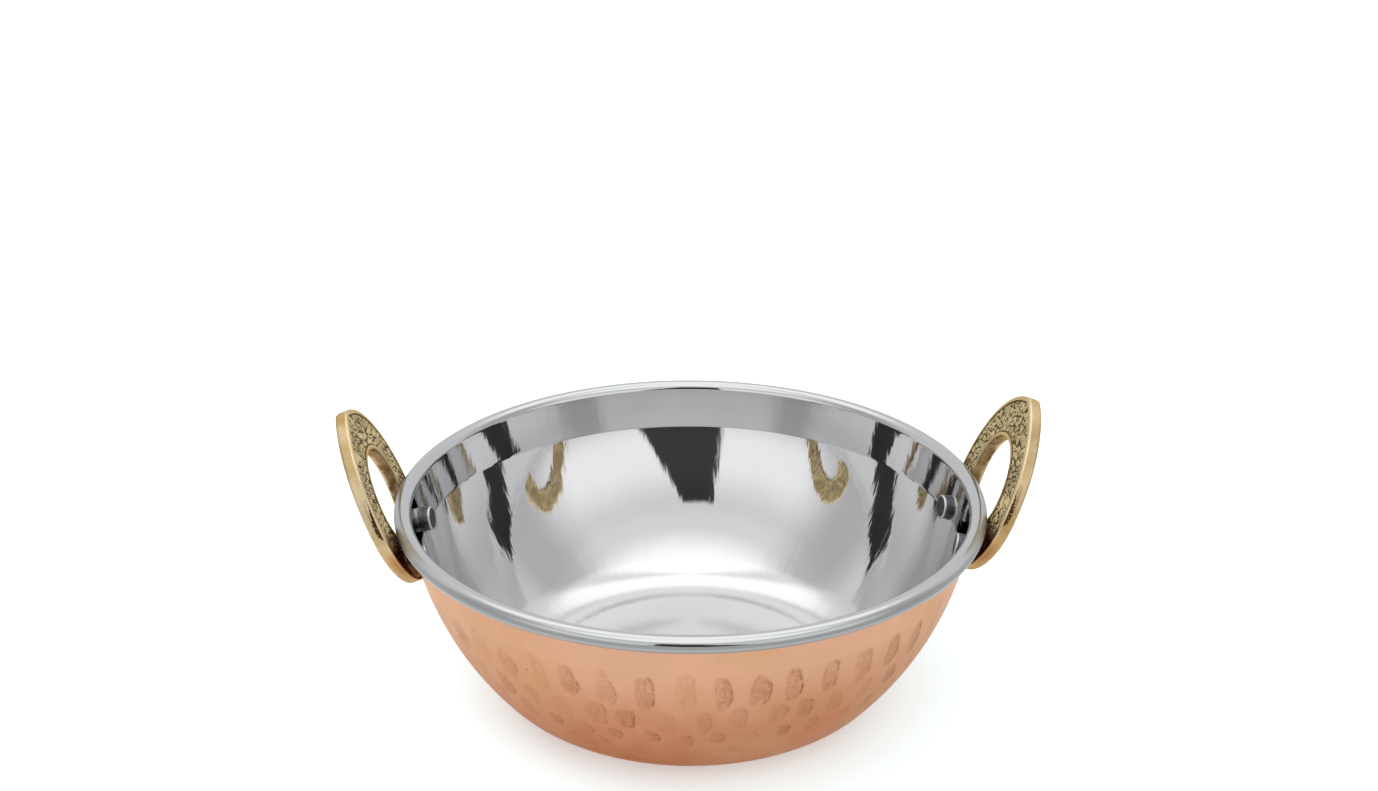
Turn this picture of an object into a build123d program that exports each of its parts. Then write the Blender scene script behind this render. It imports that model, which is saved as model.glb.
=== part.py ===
from build123d import *

import os
from math import acos, asin, atan2, cos, degrees, radians, sin, sqrt, tan

# A small serving kadai: a stainless bowl with a rolled rim, a hammered copper shell clinched
# under that rim, and two cast brass ring handles, each held by two rivets.
# Millimetres and degrees. The base stands on z = 0 about the Z axis, and the handles lie on X.

# Bowl
rim_radius = 70.0  # outermost edge of the rolled rim
bead_height = 47.8  # centre of the rolled rim above the base
rim_curl = 2.1  # outside radius of the rolled rim over its top
rim_tuck = 1.65  # outside radius of the rolled rim where it turns under
steel_wall = 0.6
copper_wall = 0.5
seat_gap = 0.03  # between the pressed shells, and between a casting and the wall it sits on
copper_tuck = 0.45  # how far below the rim's inner tangent the copper's edge ends
band_height = 9.4  # nearly upright band, from the rim's centre down to the crease
band_lean = 9.2
crease_turn = 4.0  # the wall leans in this much more below the crease
crease_radius = 2.4
floor_share = 0.523  # flat base, as a share of the rim's radius
corner_share = 0.234  # outside radius between the body and the flat base, as such a share

# Handles
rim_nest = 0.5  # the rim's edge reaches this far into the ring of each handle
handle_lean = 21.5
ring_half_width = 20.6
arch_share = 1.277  # radius of the two sides that meet in the pointed top, in ring half widths
drop_share = 0.864  # lowest point of the ring below the rim's centre, along the plate
shoulder_share = 0.777  # radius from the waist down to the flatter foot
eye_share = 0.568  # radius of the ring's round opening
spread_share = 0.51  # distance of each rivet from the handle's middle
ring_waist = 1.0  # height of the widest place above the rim's centre, along the plate
apex_radius = 1.6
eye_rise = 3.2  # its centre above the rim's centre, along the plate
plate_thickness = 3.2
plate_front_round = 0.5
plate_back_round = 0.9
border_width = 1.1  # plain border left standing round the carved field
field_depth = 0.35
groove_share = 0.53  # length of the groove worn in each side of the ring
groove_turn = 13.0  # its middle above the widest place, about the centre of the arch
groove_near = 0.5  # its near edge behind the front face
groove_width = 1.0
groove_depth = 0.3

# Rivets
rivet_drop = 8.6  # below the rim's centre
shank_radius = 1.5
shank_clearance = 0.05
head_radius = 2.9
head_thickness = 1.5
head_round = 0.3
tail_radius = 2.5
tail_thickness = 1.3
tail_clearance = 0.2  # round the tail in its spot face
spot_depth = 0.15  # of the spot face where it is shallowest
tail_round = 0.8
boss_radius = 4.0
overrun = 30.0  # how far a cutting body runs past what it cuts

floor_radius = floor_share * rim_radius
corner_radius = corner_share * rim_radius
rivet_spread = spread_share * ring_half_width
body_lean = band_lean + crease_turn
wall = steel_wall + seat_gap + copper_wall


def inward(lean):
    """Unit vector square to a wall of this lean, into the bowl, as (radius, height)."""
    return Vector(-cos(radians(lean)), sin(radians(lean)))


def downward(lean):
    """Unit vector down along a wall of this lean, as (radius, height)."""
    return Vector(-sin(radians(lean)), -cos(radians(lean)))


# The wall's section follows the copper's outer face: a straight band, a small crease, one large
# body arc and the corner arc, each tangent to the next. Every other face is an inset of it.
curl_centre = Vector(rim_radius - rim_curl, bead_height)
tuck_centre = Vector(rim_radius - rim_tuck, bead_height)
shell_top = curl_centre + inward(band_lean) * (rim_curl - wall)
band_length = (shell_top.Y - bead_height + band_height) / cos(radians(band_lean))
crease_start = shell_top + downward(band_lean) * band_length
crease_centre = crease_start + inward(band_lean) * crease_radius
crease_end = crease_centre - inward(body_lean) * crease_radius
corner_centre = Vector(floor_radius, corner_radius)
corner_reach = crease_end - corner_centre
body_radius = (corner_radius**2 - corner_reach.dot(corner_reach)) / (
    2 * (corner_reach.dot(inward(body_lean)) + corner_radius)
)
body_centre = crease_end + inward(body_lean) * body_radius
body_to_corner = corner_centre - body_centre
corner_lean = -degrees(atan2(body_to_corner.Y, body_to_corner.X))


def wall_lines(inset, drop=0):
    """Draws the section at an inset from the copper's outer face, from the rim to the axis."""
    band_inset = inward(band_lean) * inset
    Line(shell_top + band_inset + downward(band_lean) * drop, crease_start + band_inset)
    CenterArc(crease_centre, crease_radius - inset, -band_lean, band_lean - body_lean)
    CenterArc(body_centre, body_radius - inset, -body_lean, body_lean - corner_lean)
    CenterArc(corner_centre, corner_radius - inset, -corner_lean, corner_lean - 90)
    Line((floor_radius, inset), (0, inset))


def band_face(height):
    """Radius of the copper's outer face at a height on the upright band."""
    return shell_top.X - (shell_top.Y - height) * tan(radians(band_lean))


def filled_bowl(inset):
    """Solid bowl bounded by the wall's inset face and a level top at the rim's tangent."""
    top = shell_top + inward(band_lean) * inset
    with BuildPart() as solid:
        with BuildSketch(Plane.XZ):
            with BuildLine():
                wall_lines(inset)
                Polyline((0, inset), (0, top.Y), (top.X, top.Y))
            make_face()
        revolve(axis=Axis.Z)
    return solid.part


def rivet_plane(side):
    """Frame of a rivet of the right handle, on the copper's outer face, Z out along its axis."""
    height = bead_height - rivet_drop
    radius = band_face(height)
    turn = asin(side * rivet_spread / radius)
    lean = radians(band_lean)
    return Plane(
        origin=(radius * cos(turn), radius * sin(turn), height),
        x_dir=(-sin(turn), cos(turn), 0),
        z_dir=(cos(lean) * cos(turn), cos(lean) * sin(turn), -sin(lean)),
    )


def rod(plane, radius, start, end):
    """Round bar along a frame's Z axis, between two places on it."""
    return plane * Pos(0, 0, start) * extrude(Circle(radius), amount=end - start)


def along(part, plane):
    """The part's edges, in order along a frame's Z axis."""
    return part.edges().sort_by(lambda edge: plane.to_local_coords(edge.center()).Z)


def shank_hole(side):
    """Cutting bar for the hole that a rivet passes through."""
    return rod(rivet_plane(side), shank_radius + shank_clearance, -overrun, overrun)


# The handle's plate is drawn in its own frame: X across, Y up along it, Z away from the bowl.
# Its outline is tangent arcs: one on each side of the pointed top, two shoulders and the foot.
arch_radius = arch_share * ring_half_width
ring_drop = drop_share * ring_half_width
shoulder_radius = shoulder_share * ring_half_width
eye_radius = eye_share * ring_half_width
groove_length = groove_share * ring_half_width
arch_offset = arch_radius - ring_half_width
ring_top = ring_waist + sqrt(arch_radius**2 - arch_offset**2)
shoulder_offset = ring_half_width - shoulder_radius
foot_depth = ring_waist + ring_drop
foot_radius = (shoulder_offset**2 + foot_depth**2 - shoulder_radius**2) / (
    2 * (foot_depth - shoulder_radius)
)
foot_angle = degrees(atan2(shoulder_offset, foot_radius - foot_depth))
plate_frame = Plane(
    origin=(rim_radius - rim_nest, 0, bead_height),
    x_dir=(0, 1, 0),
    z_dir=(cos(radians(handle_lean)), 0, -sin(radians(handle_lean))),
)


def ring_outline(inset=0):
    """Closed outline of the handle's plate, at an inset from its edge."""
    arch = arch_radius - inset
    top_angle = degrees(acos(arch_offset / arch))
    with BuildSketch() as outline:
        with BuildLine():
            for hand in (1, -1):
                facing = 90 - 90 * hand
                CenterArc((-hand * arch_offset, ring_waist), arch, facing, hand * top_angle)
                CenterArc(
                    (hand * shoulder_offset, ring_waist),
                    shoulder_radius - inset,
                    facing,
                    hand * (foot_angle - 90),
                )
            CenterArc(
                (0, foot_radius - ring_drop), foot_radius - inset, -90 - foot_angle, 2 * foot_angle
            )
        make_face()
        fillet(outline.vertices().sort_by(Axis.Y)[-1], apex_radius)
    return outline.sketch


def eye(radius):
    """Circle about the middle of the handle's round opening."""
    return Pos(0, eye_rise) * Circle(radius)


def side_groove(hand):
    """Cutter for the shallow leaf-shaped groove in one side of the ring."""
    floor = 1 / (1 / arch_radius - 8 * groove_depth / groove_length**2)
    facing = 90 - hand * (90 - groove_turn)
    middle = Pos(-hand * arch_offset, ring_waist, groove_near) * Rot(Z=facing) * Pos(arch_radius)
    left_standing = Pos(-groove_depth - floor) * Circle(floor)
    cut = Rectangle(4 * groove_depth, 1.5 * groove_length) - left_standing
    return middle * extrude(cut, amount=groove_width)


def cast_ring():
    """The pierced plate in its own frame, its field and side grooves sunk between borders."""
    ring = extrude(ring_outline() - eye(eye_radius), amount=plate_thickness)
    ring = fillet(ring.edges().group_by(Axis.Z)[-1], plate_back_round)
    ring = fillet(ring.edges().group_by(Axis.Z)[0], plate_front_round)
    field = ring_outline(border_width) - eye(eye_radius + border_width)
    ring -= extrude(field, amount=field_depth)
    for hand in (-1, 1):
        ring -= side_groove(hand)
    return ring


def rivet_through_plate(side):
    """Where a rivet's axis meets the plate's two faces, and its slope against their square."""
    rivet = rivet_plane(side)
    start = plate_frame.to_local_coords(rivet.origin)
    rise = plate_frame.to_local_coords(rivet.origin + rivet.z_dir).Z - start.Z
    return -start.Z / rise, (plate_thickness - start.Z) / rise, sqrt(1 - rise**2) / rise


def tail_seat(side):
    """Place along a rivet's axis of the spot face, sunk so that its whole ring is in the plate."""
    _, back, slope = rivet_through_plate(side)
    return back - slope * (tail_radius + tail_clearance) - spot_depth


def handle():
    """Cast brass ring handle of the right side, with the bosses that its rivets pass through."""
    ring = plate_frame * cast_ring()
    for side in (-1, 1):
        front, back, _ = rivet_through_plate(side)
        ring += rod(rivet_plane(side), boss_radius, -wall, (front + back) / 2)
    ring -= plate_frame * extrude(eye(eye_radius), amount=-overrun)
    for side in (-1, 1):
        ring -= shank_hole(side)
        ring -= rod(rivet_plane(side), tail_radius + tail_clearance, tail_seat(side), overrun)
    return ring - filled_bowl(-seat_gap)


def rivet(side):
    """Flat-headed rivet, its head against the bowl's inner wall and its tail peened outside."""
    place, seat = rivet_plane(side), tail_seat(side)
    head = rod(place, head_radius, -wall - head_thickness, 0)
    head = fillet(along(head, place)[0], head_round) & filled_bowl(wall + seat_gap)
    shank = rod(place, shank_radius, -wall - head_thickness / 2, seat + tail_thickness / 2)
    tail = rod(place, tail_radius, seat + seat_gap, seat + tail_thickness)
    return head + shank + fillet(along(tail, place)[-1], tail_round)


def outer_shell():
    """Copper shell over the bowl, from inside the rolled rim down to the flat base."""
    with BuildPart() as shell:
        with BuildSketch(Plane.XZ):
            with BuildLine():
                wall_lines(0, copper_tuck)
                wall_lines(copper_wall, copper_tuck)
                Line((0, 0), (0, copper_wall))
                edge = shell_top + downward(band_lean) * copper_tuck
                Line(edge, edge + inward(band_lean) * copper_wall)
            make_face()
        revolve(axis=Axis.Z)
    return shell.part


def inner_bowl():
    """Stainless bowl whose edge rolls outward and down over the copper and grips it."""
    lip_low = bead_height - rim_tuck
    lip_high = lip_low + steel_wall
    outside = wall - steel_wall
    with BuildPart() as bowl:
        with BuildSketch(Plane.XZ):
            with BuildLine():
                wall_lines(wall)
                wall_lines(outside)
                Line((0, outside), (0, wall))
                CenterArc(curl_centre, rim_curl, 0, 180 - band_lean)
                CenterArc(curl_centre, rim_curl - steel_wall, 0, 180 - band_lean)
                CenterArc(tuck_centre, rim_tuck, 0, -90)
                CenterArc(tuck_centre, rim_tuck - steel_wall, 0, -90)
                Polyline(
                    (tuck_centre.X, lip_low),
                    (band_face(lip_low) + seat_gap, lip_low),
                    (band_face(lip_high) + seat_gap, lip_high),
                    (tuck_centre.X, lip_high),
                )
            make_face()
        revolve(axis=Axis.Z)
    return bowl.part


def opposite(part):
    """The same piece on the left side: half a turn about the bowl's axis."""
    return Rot(Z=180) * part


def kadai():
    """Every piece by its name, in place."""
    shell, bowl, ring = outer_shell(), inner_bowl(), handle()
    for side in (-1, 1):
        for hole in (shank_hole(side), opposite(shank_hole(side))):
            shell -= hole
            bowl -= hole
    front, back = rivet(-1), rivet(1)
    return {
        "inner_bowl": bowl,
        "outer_shell": shell,
        "handle_right": ring,
        "handle_left": opposite(ring),
        "rivet_right_front": front,
        "rivet_right_back": back,
        "rivet_left_front": opposite(back),
        "rivet_left_back": opposite(front),
    }


os.makedirs("parts", exist_ok=True)
for name, piece in kadai().items():
    export_step(piece, f"parts/{name}.step")
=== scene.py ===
"""Looks of a small kadai: mirror steel bowl, hammered copper shell and two carved brass handles."""
import math

import bpy
import numpy as np
from mathutils import Matrix, Vector


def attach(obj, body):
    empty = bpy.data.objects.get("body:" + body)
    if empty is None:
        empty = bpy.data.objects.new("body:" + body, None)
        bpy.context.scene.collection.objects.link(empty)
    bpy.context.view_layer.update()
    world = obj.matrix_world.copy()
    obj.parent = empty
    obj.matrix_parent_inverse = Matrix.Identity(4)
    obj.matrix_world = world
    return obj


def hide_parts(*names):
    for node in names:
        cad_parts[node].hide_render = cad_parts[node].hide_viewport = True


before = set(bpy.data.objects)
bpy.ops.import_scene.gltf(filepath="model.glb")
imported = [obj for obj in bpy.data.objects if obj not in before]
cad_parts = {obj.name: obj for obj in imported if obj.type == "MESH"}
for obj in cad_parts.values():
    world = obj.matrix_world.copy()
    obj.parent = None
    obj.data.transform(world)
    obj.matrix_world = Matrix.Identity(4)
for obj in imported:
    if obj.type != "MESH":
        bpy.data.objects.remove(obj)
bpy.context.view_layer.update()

MM = 0.001
SEED = 7
ANY_TURN = 6.3  # radians, a little over a full turn, the range of a random direction

# Section of the bowl and the shell, in millimetres and degrees, with the values of the CAD model
RIM_RADIUS = 70.0
BEAD_HEIGHT = 47.8
RIM_CURL = 2.1
RIM_TUCK = 1.65
STEEL_WALL = 0.6
COPPER_WALL = 0.5
SEAT_GAP = 0.03
COPPER_TUCK = 0.45
BAND_HEIGHT = 9.4
BAND_LEAN = 9.2
CREASE_TURN = 4.0
CREASE_RADIUS = 2.4
FLOOR_RADIUS = 0.523 * RIM_RADIUS
CORNER_RADIUS = 0.234 * RIM_RADIUS
BODY_LEAN = BAND_LEAN + CREASE_TURN
WALL = STEEL_WALL + SEAT_GAP + COPPER_WALL
AXIS_HOLE = 0.4  # radius of the small disc that closes a lathed mesh on the axis

# Handle, in the plate's own frame
RIM_NEST = 0.5
HANDLE_LEAN = 21.5
RING_HALF_WIDTH = 20.6
RING_WAIST = 1.0
ARCH_RADIUS = 1.277 * RING_HALF_WIDTH
ARCH_OFFSET = ARCH_RADIUS - RING_HALF_WIDTH
RING_DROP = 0.864 * RING_HALF_WIDTH
SHOULDER_RADIUS = 0.777 * RING_HALF_WIDTH
EYE_RADIUS = 0.568 * RING_HALF_WIDTH
EYE_RISE = 3.2
BORDER_WIDTH = 1.1
FIELD_DEPTH = 0.35
RIVET_DROP = 8.6
RIVET_SPREAD = 0.51 * RING_HALF_WIDTH
RIVET_HEAD = 2.9
GROOVE_SHARE = 0.53
GROOVE_TURN = 13.0
GROOVE_NEAR = 0.5
GROOVE_WIDTH = 1.0
GROOVE_DEPTH = 0.3
HANDLES = (("right", 1), ("left", -1))  # each one's side, and the sign of its x and y


# Meshes from arrays


def mesh_object(name, points, faces, attributes=()):
    """Mesh object from points in millimetres, with point attributes and smooth faces."""
    mesh = bpy.data.meshes.new(name)
    mesh.from_pydata((np.asarray(points) * MM).tolist(), [], faces)
    for key, values in attributes:
        mesh.attributes.new(key, "FLOAT", "POINT").data.foreach_set(
            "value", np.asarray(values, np.float32).ravel()
        )
    mesh.polygons.foreach_set("use_smooth", [True] * len(mesh.polygons))
    mesh.update()
    made = bpy.data.objects.new(name, mesh)
    bpy.context.scene.collection.objects.link(made)
    return made


def grid_faces(rows, columns, wrap_rows=False, wrap_columns=True):
    """Quads of a grid whose rows and columns may close on themselves."""
    row = np.arange(rows if wrap_rows else rows - 1)[:, None]
    column = np.arange(columns if wrap_columns else columns - 1)[None, :]
    below = ((row + 1) % rows) * columns
    beside = (column + 1) % columns
    corners = [row * columns + column, row * columns + beside, below + beside, below + column]
    return np.stack(corners, -1).reshape(-1, 4).tolist()


def full_turn(count):
    """Even angles of a full turn, in radians."""
    return np.arange(count) * 2 * math.pi / count


def smooth(values):
    """Smooth step of values kept within 0 and 1."""
    kept = np.clip(values, 0, 1)
    return kept * kept * (3 - 2 * kept)


def unit(angle):
    """Direction of an angle in degrees."""
    return np.array([math.cos(math.radians(angle)), math.sin(math.radians(angle))])


def arc(centre, radius, start, end, step):
    """Points of an arc of a section, its ends included, about one step apart."""
    count = max(2, math.ceil(abs(math.radians(end - start)) * radius / step) + 1)
    return [np.asarray(centre) + radius * unit(a) for a in np.linspace(start, end, count)]


def line(start, end, step):
    """Points of a straight run, its ends included."""
    start, end = np.asarray(start, float), np.asarray(end, float)
    count = max(2, math.ceil(np.hypot(*(end - start)) / step) + 1)
    return [start + (end - start) * t for t in np.linspace(0, 1, count)]


def run(*parts):
    """One list of points from runs that meet, without doubled points."""
    joined = []
    for part in parts:
        for point in part:
            if not joined or np.hypot(*(point - joined[-1])) > 1e-4:
                joined.append(point)
    return np.array(joined)


# Section of the wall: tangent lines and arcs, and insets of them

INWARD = -unit(-BAND_LEAN)
DOWNWARD = np.array([-math.sin(math.radians(BAND_LEAN)), -math.cos(math.radians(BAND_LEAN))])
CURL_CENTRE = np.array([RIM_RADIUS - RIM_CURL, BEAD_HEIGHT])
TUCK_CENTRE = np.array([RIM_RADIUS - RIM_TUCK, BEAD_HEIGHT])
SHELL_TOP = CURL_CENTRE + INWARD * (RIM_CURL - WALL)
BAND_LENGTH = (SHELL_TOP[1] - BEAD_HEIGHT + BAND_HEIGHT) / math.cos(math.radians(BAND_LEAN))
CREASE_START = SHELL_TOP + DOWNWARD * BAND_LENGTH
CREASE_CENTRE = CREASE_START + INWARD * CREASE_RADIUS
CREASE_END = CREASE_CENTRE + unit(-BODY_LEAN) * CREASE_RADIUS
CORNER_CENTRE = np.array([FLOOR_RADIUS, CORNER_RADIUS])
REACH = CREASE_END - CORNER_CENTRE
BODY_RADIUS = (CORNER_RADIUS**2 - REACH @ REACH) / (
    2 * (REACH @ -unit(-BODY_LEAN) + CORNER_RADIUS)
)
BODY_CENTRE = CREASE_END - unit(-BODY_LEAN) * BODY_RADIUS
CORNER_LEAN = -math.degrees(math.atan2(*(CORNER_CENTRE - BODY_CENTRE)[::-1]))


def wall_section(inset, step, drop=0.0):
    """The wall's section from the rim to the axis, at an inset from the copper's outer face."""
    shift = INWARD * inset
    return run(
        line(SHELL_TOP + shift + DOWNWARD * drop, CREASE_START + shift, step),
        arc(CREASE_CENTRE, CREASE_RADIUS - inset, -BAND_LEAN, -BODY_LEAN, step / 4),
        arc(BODY_CENTRE, BODY_RADIUS - inset, -BODY_LEAN, -CORNER_LEAN, step),
        arc(CORNER_CENTRE, CORNER_RADIUS - inset, -CORNER_LEAN, -90, step),
        line((FLOOR_RADIUS, inset), (AXIS_HOLE, inset), 4 * step),
    )


def band_face(height):
    """Radius of the copper's outer face on the upper band, at a height."""
    return SHELL_TOP[0] - (SHELL_TOP[1] - height) * math.tan(math.radians(BAND_LEAN))


def turned_points(radius, height, angles):
    """Rings of points of a section turned about the axis."""
    x, y = radius * np.cos(angles), radius * np.sin(angles)
    return np.stack([x, y, np.broadcast_to(height, x.shape)], -1)


def lathe(name, rings, attributes=()):
    """Closed mesh of rings of points, the first and the last of which are beside the axis."""
    count, columns = rings.shape[:2]
    last = (count - 1) * columns
    faces = grid_faces(count, columns)
    faces += [list(range(columns))[::-1], list(range(last, last + columns))]
    return mesh_object(name, rings.reshape(-1, 3), faces, attributes)


# Hammered copper shell

HAMMER_COUNT = 48  # marks in a row
HAMMER_PHASE = -87.5  # degrees, of one mark of the first row
# Each row: place along the section below the shell's edge, half height, half width, depth,
# stagger, share of marks left out, and the least strength of the painted shade along a mark's steep
# side
HAMMER_ROWS = (
    (15.2, 5.6, 2.85, 0.1, 0.0, 0, 0),
    (24.6, 4.4, 2.65, 0.09, 0.5, 0, 0),
    (31.8, 3.0, 2.1, 0.065, 0.0, 0, 0.5),
    (37.2, 1.7, 1.3, 0.04, 0.5, 0.5, 0.5),
)
# Spread of single marks: place round and along the shell, and shares of the row's sizes
MARK_SHIFTS = (0.4, 0.6)
SHIFT_RADIUS = 60.0  # radius at which the shift round the shell is measured
MARK_TALL = (0.82, 1.12)
MARK_WIDE = (0.84, 1.12)
MARK_DEEP = (0.6, 1.25)
MARK_LEAN = (-3, 3.5)  # degrees, mean and spread
MARK_STRAIGHT = (0.45, 0.8)  # reach of a mark's flatter side, in half widths
MARK_LEAST = 0.25  # least tone of a mark
TONE_POWER = 1.5
# A mark is worked on within so many of its half heights and half widths, at a least radius
MARK_WINDOW = (1.4, 1.8)
WINDOW_RADIUS = 50.0
# Powers of a mark's outline: on the flatter side, the other side, up and down, and of its reach
MARK_POWERS = (3, 2.1, 2.3, 2.2)
MARK_LOBES = ((3, 0.07), (5, 0.05))  # waves of its outline: count and height
MARK_FLOOR = (0.12, 0.88)  # depth at the flatter side, and the rise of it to the steep side
MARK_SLOPE = 0.34  # share of its reach in which its edge goes down
FILL_EDGE = (1.04, 0.26)  # reach and softness of its tone
FILL_FLOOR = (0.7, 0.3)
FILL_SHARES = (0.2, 0.8)  # parts of its tone that are the same for all and that differ
CRESCENT = (0.93, 0.085)  # place and width of the painted shade line along its steep side
CRESCENT_RISE = (1.2, 0.1)  # how fast and how late the line sets in towards that side
# The marks' tone fades beside the handles: by how much, from which cosine, over how much of it
HANDLE_FADE = (0.45, 0.7, 0.14)
COPPER_COLUMNS = 1152
COPPER_STEPS = (0.4, 3.0)  # of the section's outer and inner face


def mark_shape(across, down, straight, lobes):
    """How far points lie in a mark, 1 at its edge, and their place towards its steep side."""
    flatter, other, upright, whole = MARK_POWERS
    side = np.where(across < 0, abs(across / straight) ** flatter, abs(across) ** other)
    reach = (side + abs(down) ** upright) ** (1 / whole)
    around = np.arctan2(down, across)
    (first, low), (second, high) = MARK_LOBES
    reach *= (
        1 + low * np.sin(first * around + lobes[0]) + high * np.sin(second * around + lobes[1])
    )
    return reach, np.clip((across + straight) / (1 + straight), 0, 1)


def hammer_marks(places, angles, radii, draw):
    """Depth of the slanted hammer marks, their tone, and the painted shade along each one's steep
    side.
    """
    depth = np.zeros((len(places), len(angles)))
    inside = np.zeros_like(depth)
    crescent_shade = np.zeros_like(depth)
    fade, fade_start, fade_width = HANDLE_FADE
    for place, half_height, half_width, sink, stagger, missing, least in HAMMER_ROWS:
        for k in range(HAMMER_COUNT):
            middle = math.radians(HAMMER_PHASE + (k + stagger) * 360 / HAMMER_COUNT)
            middle += draw.normal(0, MARK_SHIFTS[0]) / SHIFT_RADIUS
            along = place + draw.normal(0, MARK_SHIFTS[1])
            tall = half_height * draw.uniform(*MARK_TALL)
            wide = half_width * draw.uniform(*MARK_WIDE)
            deep = sink * draw.uniform(*MARK_DEEP)
            lean = math.radians(draw.normal(*MARK_LEAN))
            straight = draw.uniform(*MARK_STRAIGHT)
            faint = 1 - fade * smooth((abs(math.cos(middle)) - fade_start) / fade_width)
            strength = faint * draw.uniform(MARK_LEAST, 1.0) ** TONE_POWER
            lobes = draw.uniform(0, ANY_TURN, 2)
            if missing and draw.uniform() < missing:
                continue
            turn = (angles - middle + math.pi) % (2 * math.pi) - math.pi
            rows = np.nonzero(abs(places - along) < MARK_WINDOW[0] * tall)[0]
            columns = np.nonzero(abs(turn) * WINDOW_RADIUS < MARK_WINDOW[1] * wide)[0]
            window = np.ix_(rows, columns)
            beside = turn[columns][None, :] * radii[rows][:, None]
            below = (places[rows] - along)[:, None]
            across = (beside * math.cos(lean) + below * math.sin(lean)) / wide
            down = (below * math.cos(lean) - beside * math.sin(lean)) / tall
            reach, slant = mark_shape(across, down, straight, lobes)
            base = MARK_FLOOR[0] + MARK_FLOOR[1] * slant
            fill = (FILL_FLOOR[0] + FILL_FLOOR[1] * slant) * smooth(
                (FILL_EDGE[0] - reach) / FILL_EDGE[1]
            )
            rim = np.exp(-(((reach - CRESCENT[0]) / CRESCENT[1]) ** 2)) * smooth(
                CRESCENT_RISE[0] * across - CRESCENT_RISE[1]
            )
            for layer, values in (
                (depth, deep * base * smooth((1.0 - reach) / MARK_SLOPE)),
                (inside, fill * (FILL_SHARES[0] * faint + FILL_SHARES[1] * strength)),
                (crescent_shade, rim * max(strength, least * faint)),
            ):
                layer[window] = np.maximum(layer[window], values)
    return depth, inside, crescent_shade


def copper_shell():
    """Shell with hammer marks pressed in real depth, over the CAD model's plain shell."""
    outer = wall_section(0, COPPER_STEPS[0], COPPER_TUCK)
    inner = wall_section(COPPER_WALL, COPPER_STEPS[1], COPPER_TUCK)
    steps = np.hypot(*np.diff(outer, axis=0).T)
    places = (np.concatenate([[0], np.cumsum(steps)]) + COPPER_TUCK)[::-1]
    outer = outer[::-1]
    slope = np.gradient(outer, axis=0)
    normal = np.stack([slope[:, 1], -slope[:, 0]], -1)
    normal /= np.hypot(*normal.T)[:, None]
    angles = full_turn(COPPER_COLUMNS)
    draw = np.random.default_rng(SEED)
    depth, inside, crescent_shade = hammer_marks(places, angles, outer[:, 0], draw)
    radius = outer[:, :1] - depth * normal[:, :1]
    height = outer[:, 1:] - depth * normal[:, 1:]
    front = turned_points(radius, height, angles)
    back = turned_points(inner[:, :1], inner[:, 1:], angles)
    plain = np.zeros((len(inner), COPPER_COLUMNS))
    made = lathe(
        "copper_shell",
        np.concatenate([front, back]),
        [
            ("mark", np.concatenate([inside, plain])),
            ("crescent_shade", np.concatenate([crescent_shade, plain])),
        ],
    )
    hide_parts("outer_shell")
    return made


# Steel bowl

STEEL_COLUMNS = 720
INSIDE_STEP = 0.5
OUTSIDE_STEP = 2.0
RIM_STEP = 0.1
LIP_STEP = 0.4
HIDDEN_STEP = 0.3


def steel_bowl():
    """Finely turned bowl with its rolled rim, over the same section as the CAD model's bowl."""
    lip_low = BEAD_HEIGHT - RIM_TUCK
    lip_high = lip_low + STEEL_WALL
    lip_ends = [(band_face(level) + SEAT_GAP, level) for level in (lip_low, lip_high)]
    section = run(
        wall_section(WALL, INSIDE_STEP)[::-1],
        arc(CURL_CENTRE, RIM_CURL, 180 - BAND_LEAN, 0, RIM_STEP),
        arc(TUCK_CENTRE, RIM_TUCK, 0, -90, RIM_STEP),
        line((TUCK_CENTRE[0], lip_low), lip_ends[0], LIP_STEP),
        line(lip_ends[1], (TUCK_CENTRE[0], lip_high), LIP_STEP),
        arc(TUCK_CENTRE, RIM_TUCK - STEEL_WALL, -90, 0, HIDDEN_STEP),
        arc(CURL_CENTRE, RIM_CURL - STEEL_WALL, 0, 180 - BAND_LEAN, HIDDEN_STEP),
        wall_section(WALL - STEEL_WALL, OUTSIDE_STEP),
    )[::-1]
    rings = turned_points(section[:, :1], section[:, 1:], full_turn(STEEL_COLUMNS))
    made = lathe("steel_bowl", rings)
    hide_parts("inner_bowl")
    return made


# Carving of the handles: leaves raised in the sunk field

CARVING_COLUMNS = 1150
CARVING_ROWS = 84
CARVING_SKIRT = 0.06  # gap between the carving and the border
CARVING_FADE = 16  # one part in so many of the field's width, in which its edges rise
CARVING_SINK = 0.02  # of its outer edges below the field
OUTLINE_STEP = 0.05
RELIEF = 0.34
UNITS = 6  # rosettes on each side
CORE_SHARES = (0.66, 0.3)  # places across the field of even and odd rosettes
CORE_SIZE = (0.75, 0.7)
CORE_APART = 1.7
LEAF_SIZE = (1.95, 0.7)  # half length and half width
BUD_SIZE = (0.7, 0.42)
LEAF_APART = 1.45  # least reach of one leaf's middle in another leaf
LEAF_MARGIN = 0.3  # least distance of a leaf's middle from the borders
LEAF_BEND = 0.2
LEAF_TAPER = 0.45
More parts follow.
